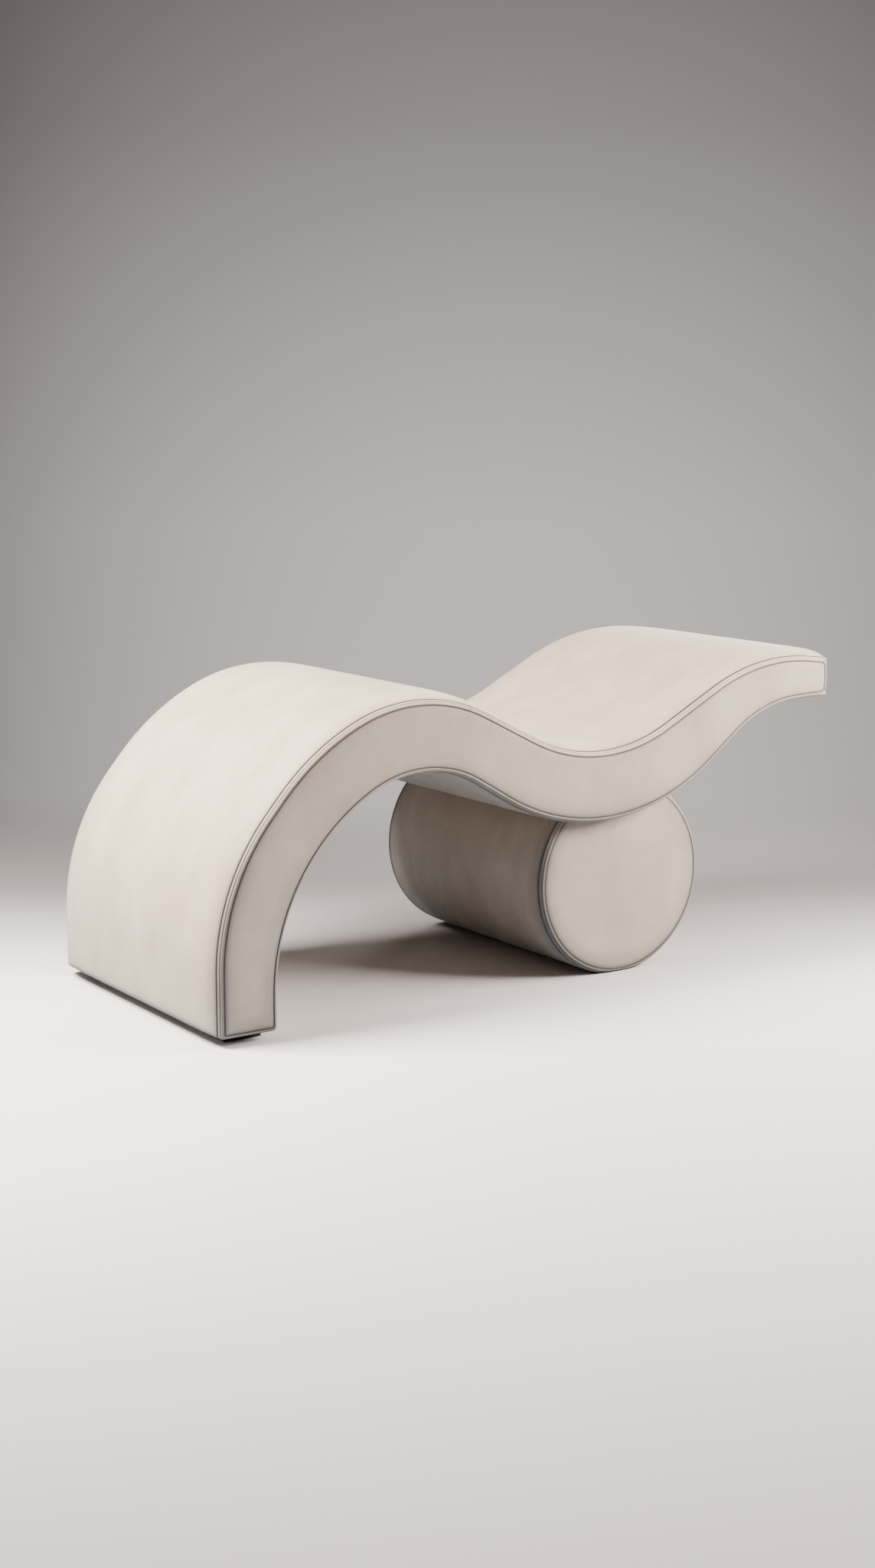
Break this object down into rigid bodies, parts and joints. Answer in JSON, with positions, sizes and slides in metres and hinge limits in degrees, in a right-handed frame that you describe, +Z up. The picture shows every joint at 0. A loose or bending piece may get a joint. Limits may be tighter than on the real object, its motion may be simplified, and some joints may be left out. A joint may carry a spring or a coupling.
{
  "type": "eyelash extension bed",
  "caption": "Wave-shaped upholstered treatment bed: one padded band arches up from its own foot, dips to a seat, rises to a head end, and rests on a padded drum under the seat.",
  "frame": {"origin": "on the floor, under the middle of the bed's length and width", "axes": "+X along the bed from the foot to the head end, +Y across the bed to its far side in the picture, +Z up"},
  "size_m": [1.8, 0.8, 0.7684],
  "materials": {
    "leatherette": "matt cream leatherette, fine grain, faint cloudy patina",
    "foam": "upholstery foam, open cell",
    "plywood": "birch plywood, sanded",
    "timber": "planed softwood",
    "black_board": "black laminated board, matt",
    "pad_rubber": "black rubber",
    "zinc_steel": "zinc-plated steel"
  },
  "bodies": {
    "root": {"cross_rail_1": "timber", "cross_rail_2": "timber", "cross_rail_3": "timber", "cross_rail_4": "timber", "cross_rail_5": "timber", "cross_rail_6": "timber", "cross_rail_7": "timber", "cross_rail_8": "timber", "cross_rail_9": "timber", "drum_base_board": "plywood", "drum_disc_centre": "plywood", "drum_disc_far": "plywood", "drum_disc_near": "plywood", "drum_end_cover_far": "leatherette", "drum_end_cover_near": "leatherette", "drum_end_foam_far": "foam", "drum_end_foam_near": "foam", "drum_pads": "pad_rubber", "drum_plinth": "black_board", "drum_screws": "zinc_steel", "drum_skin": "plywood", "drum_stave_1": "timber", "drum_stave_2": "timber", "drum_stave_3": "timber", "drum_stave_4": "timber", "drum_stave_5": "timber", "drum_stave_6": "timber", "drum_stave_7": "timber", "drum_stave_8": "timber", "drum_wrap_cover": "leatherette", "drum_wrap_foam": "foam", "foot_board": "plywood", "foot_pads": "pad_rubber", "foot_plinth": "black_board", "foot_screws": "zinc_steel", "head_board": "plywood", "head_foam": "foam", "rib_centre": "plywood", "rib_far": "plywood", "rib_near": "plywood", "saddle_block_far": "timber", "saddle_block_near": "timber", "saddle_board": "plywood", "saddle_bolts": "zinc_steel", "saddle_rail_back": "timber", "saddle_rail_front": "timber", "saddle_washers": "zinc_steel", "side_cover_far": "leatherette", "side_cover_near": "leatherette", "side_foam_far": "foam", "side_foam_near": "foam", "tee_nuts": "zinc_steel", "top_cover": "leatherette", "top_deck": "plywood", "top_foam": "foam", "underside_cover": "leatherette", "underside_deck": "plywood", "underside_foam": "foam"}
  },
  "joints": []
}
